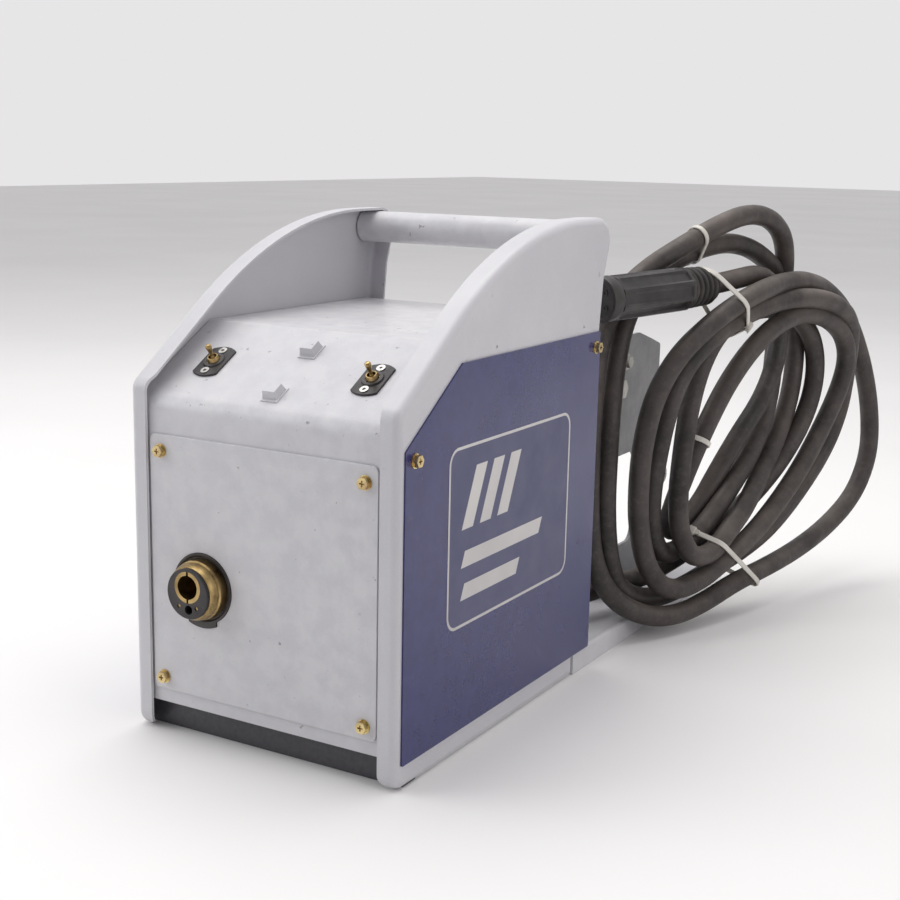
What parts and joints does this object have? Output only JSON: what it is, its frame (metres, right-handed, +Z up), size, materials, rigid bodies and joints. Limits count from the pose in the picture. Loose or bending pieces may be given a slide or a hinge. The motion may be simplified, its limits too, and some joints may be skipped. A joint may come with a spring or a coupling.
{
  "type": "welding wire feeder",
  "caption": "Sheet-metal welding wire feeder with sloping switch panel, torch connector, spool holder, hinged door and a coiled power cable with plug",
  "frame": {"origin": "on the standing surface, under the middle of the feeder's bounding box without its free cable", "axes": "+Z up, -Y the front with the torch connector, +X the fixed side cover"},
  "size_m": [0.3796, 0.7565, 0.389],
  "materials": {
    "cabinet_paint": "light grey coat with a fine texture",
    "blue_paint": "semi-gloss navy blue",
    "grey_plate": "mid grey paint",
    "zinc_steel": "zinc plated",
    "yellow_zinc": "yellow chromate zinc",
    "steel": "machined steel",
    "nickel": "nickel plated",
    "brass": "machined brass",
    "copper": "tinned copper",
    "aluminium": "bare",
    "black_plastic": "matt black",
    "grey_plastic": "matt grey",
    "white_nylon": "natural nylon",
    "board_green": "solder resist",
    "black_rubber": "dusty black rubber",
    "cable_rubber": "dusty black rubber sheath"
  },
  "bodies": {
    "cabinet": {"base_pan": "cabinet_paint", "blanking_caps": "cabinet_paint", "board_parts": "black_plastic", "bracket_bolts": "zinc_steel", "bus_bar": "copper", "cable_clip": "white_nylon", "cable_gland": "black_plastic", "cable_plug": "black_plastic", "cable_ties": "white_nylon", "carry_handle": "cabinet_paint", "connector_collar": "brass", "connector_core": "black_plastic", "connector_insulator": "black_plastic", "connector_pins": "brass", "connector_socket": "brass", "control_board": "board_green", "control_receptacle": "nickel", "cover_screws": "yellow_zinc", "door_hinges": "zinc_steel", "drive_plate": "grey_plate", "front_cover": "cabinet_paint", "gas_hose": "black_rubber", "gas_nipple": "brass", "gas_valve": "brass", "gearbox": "aluminium", "hub_nut": "zinc_steel", "inlet_guide": "steel", "motor": "grey_plate", "outlet_guide": "steel", "pivot_pins": "steel", "plug_collar": "black_rubber", "power_cable": "cable_rubber", "power_cable_coil": "cable_rubber", "power_cable_tail": "cable_rubber", "rear_bulkhead": "cabinet_paint", "rubber_feet": "black_rubber", "side_cover_right": "blue_paint", "side_frame_left": "cabinet_paint", "side_frame_right": "cabinet_paint", "spool_bracket": "grey_plate", "spool_shaft": "zinc_steel", "switch_bodies": "brass", "switch_eyelets": "nickel", "switch_plates": "black_plastic", "top_panel": "cabinet_paint"},
    "left_lever": {"left_switch_lever": "brass"},
    "right_lever": {"right_switch_lever": "brass"},
    "door": {"left_door": "blue_paint"},
    "latch": {"door_latch": "nickel"},
    "drive_roll": {"feed_shaft": "steel", "feed_roll": "steel", "feed_nut": "steel"},
    "upper_roll": {"pressure_roll": "steel"},
    "arm": {"pressure_arm": "aluminium", "roll_pin": "steel"},
    "rod": {"tension_rod": "steel", "tension_spring": "steel"},
    "knob": {"tension_knob": "black_plastic"},
    "hub": {"spool_hub": "black_plastic"},
    "finger": {"hub_lever": "grey_plastic"}
  },
  "joints": [
    {"name": "left_toggle", "type": "hinge", "parent": "cabinet", "child": "left_lever", "pos_m": [-0.073, -0.25756, 0.27432], "axis": [1, 0, 0], "range_deg": [-12, 12], "stiffness_Nm_per_rad": 0.05},
    {"name": "right_toggle", "type": "hinge", "parent": "cabinet", "child": "right_lever", "pos_m": [0.0653, -0.25756, 0.27432], "axis": [1, 0, 0], "range_deg": [-12, 12]},
    {"name": "door_hinge", "type": "hinge", "parent": "cabinet", "child": "door", "pos_m": [-0.1185, -0.11275, 0.2905], "axis": [0, 1, 0], "range_deg": [0, 110]},
    {"name": "door_latch_turn", "type": "hinge", "parent": "door", "child": "latch", "pos_m": [-0.117, -0.14775, 0.0265], "axis": [-1, 0, 0], "range_deg": [0, 90]},
    {"name": "feed_roll_turn", "type": "hinge", "parent": "cabinet", "child": "drive_roll", "pos_m": [-0.052, -0.15275, 0.1013], "axis": [1, 0, 0], "continuous": true},
    {"name": "pressure_arm_lift", "type": "hinge", "parent": "cabinet", "child": "arm", "pos_m": [-0.067, -0.11075, 0.15], "axis": [-1, 0, 0], "range_deg": [0, 4], "stiffness_Nm_per_rad": 8, "deforming": ["tension_spring"]},
    {"name": "pressure_roll_turn", "type": "hinge", "parent": "arm", "child": "upper_roll", "pos_m": [-0.052, -0.15275, 0.1423], "axis": [1, 0, 0], "continuous": true},
    {"name": "tension_rod_swing", "type": "hinge", "parent": "cabinet", "child": "rod", "pos_m": [-0.067, -0.20075, 0.088], "axis": [1, 0, 0], "range_deg": [0, 35]},
    {"name": "tension_knob_turn", "type": "hinge", "parent": "rod", "child": "knob", "pos_m": [-0.067, -0.20075, 0.19], "axis": [0, 0, 1], "continuous": true},
    {"name": "spool_hub_turn", "type": "hinge", "parent": "cabinet", "child": "hub", "pos_m": [-0.05, 0.16625, 0.212], "axis": [1, 0, 0], "continuous": true},
    {"name": "spool_finger_swing", "type": "hinge", "parent": "hub", "child": "finger", "pos_m": [-0.1029, 0.16625, 0.23], "axis": [0, -1, 0], "range_deg": [0, 90]}
  ],
  "couplings": [
    {"joint": "pressure_roll_turn", "follows": "feed_roll_turn", "ratio": -1}
  ]
}
